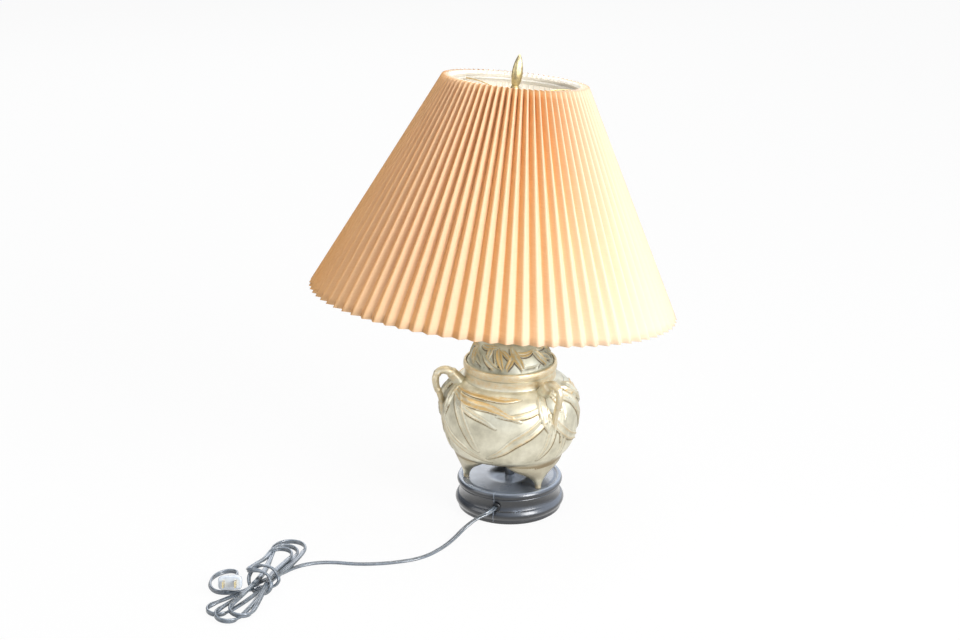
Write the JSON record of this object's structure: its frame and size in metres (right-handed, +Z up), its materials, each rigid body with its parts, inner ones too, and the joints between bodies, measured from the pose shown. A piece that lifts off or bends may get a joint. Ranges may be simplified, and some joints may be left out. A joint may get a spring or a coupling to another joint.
{
  "type": "table lamp with shade",
  "caption": "Table lamp: cast urn with bamboo handles on a turned wooden base, leaning pleated cone shade on a harp, flat cord tied in a hank with its plug.",
  "frame": {"origin": "centre of the felt pad under the base, on the axis of the lamp pipe", "axes": "+Z up along the lamp pipe, -Y towards the side that the cord leaves, +X to the right of that side"},
  "size_m": [0.5011, 0.4752, 0.5298],
  "materials": {
    "ebonised_wood": "satin turned",
    "felt": "felt",
    "black_plastic": "moulded",
    "steel": "zinc plated",
    "bronze": "cast, patinated",
    "brass": "lacquered sheet",
    "finial_brass": "aged, satin",
    "liner_board": "pressed board",
    "phenolic": "moulded",
    "contact_brass": "bright",
    "bulb_glass": "frosted inside",
    "bulb_metal": "rolled",
    "bulb_insulator": "black glass and solder",
    "bulb_inner": "clear stem with wires",
    "shade_cloth": "pleated, backed",
    "shade_tape": "bonded tape",
    "shade_wire": "white enamel",
    "spider_brass": "plated",
    "cord_jacket": "flexible vinyl",
    "plug_plastic": "moulded"
  },
  "bodies": {
    "lamp": {"wooden_base": "ebonised_wood", "base_felt": "felt", "cord_bushing": "black_plastic", "base_washer": "steel", "base_nut": "steel", "lamp_pipe": "steel", "urn_body": "bronze", "urn_lid": "bronze", "handle_left": "bronze", "handle_right": "bronze", "handle_back": "bronze", "lid_washer": "brass", "neck_tube": "brass", "harp_saddle": "brass", "harp": "brass", "harp_stud": "brass", "socket_cap": "brass", "socket_shell": "brass", "socket_liner": "liner_board", "socket_body": "phenolic", "screw_shell": "contact_brass", "centre_contact": "contact_brass", "terminal_screws": "contact_brass", "plug_blades": "contact_brass", "cord_run": "cord_jacket", "cord_hank": "cord_jacket", "inner_lead": "cord_jacket", "plug_body": "plug_plastic"},
    "shade": {"shade_pleats": "shade_cloth", "shade_top_tape": "shade_tape", "shade_bottom_tape": "shade_tape", "shade_top_ring": "shade_wire", "shade_bottom_ring": "shade_wire", "shade_spider": "spider_brass"},
    "finial": {"finial_base": "brass", "finial_bud": "finial_brass"},
    "knob": {"switch_knob": "black_plastic"},
    "sleeve_left": {"sleeve_left": "brass"},
    "sleeve_right": {"sleeve_right": "brass"},
    "bulb": {"bulb_glass": "bulb_glass", "bulb_cap": "bulb_metal", "bulb_tip": "bulb_insulator", "bulb_mount": "bulb_inner"}
  },
  "joints": [
    {"name": "shade_turn", "type": "hinge", "parent": "lamp", "child": "shade", "pos_m": [0, 0, 0.45708], "axis": [0.0997, 0.1194, 0.9878], "continuous": true},
    {"name": "finial_turn", "type": "hinge", "parent": "lamp", "child": "finial", "pos_m": [0, 0, 0.45708], "axis": [0.0997, 0.1194, 0.9878], "continuous": true},
    {"name": "knob_turn", "type": "hinge", "parent": "lamp", "child": "knob", "pos_m": [0, 0, 0.2495], "axis": [0, -1, 0], "continuous": true},
    {"name": "sleeve_left_slide", "type": "slide", "parent": "lamp", "child": "sleeve_left", "axis": [0, 0, 1], "range_m": [0, 0.014]},
    {"name": "sleeve_right_slide", "type": "slide", "parent": "lamp", "child": "sleeve_right", "axis": [0, 0, 1], "range_m": [0, 0.014]},
    {"name": "bulb_turn", "type": "hinge", "parent": "lamp", "child": "bulb", "pos_m": [0, 0, 0.2603], "axis": [0, 0, 1], "continuous": true}
  ]
}
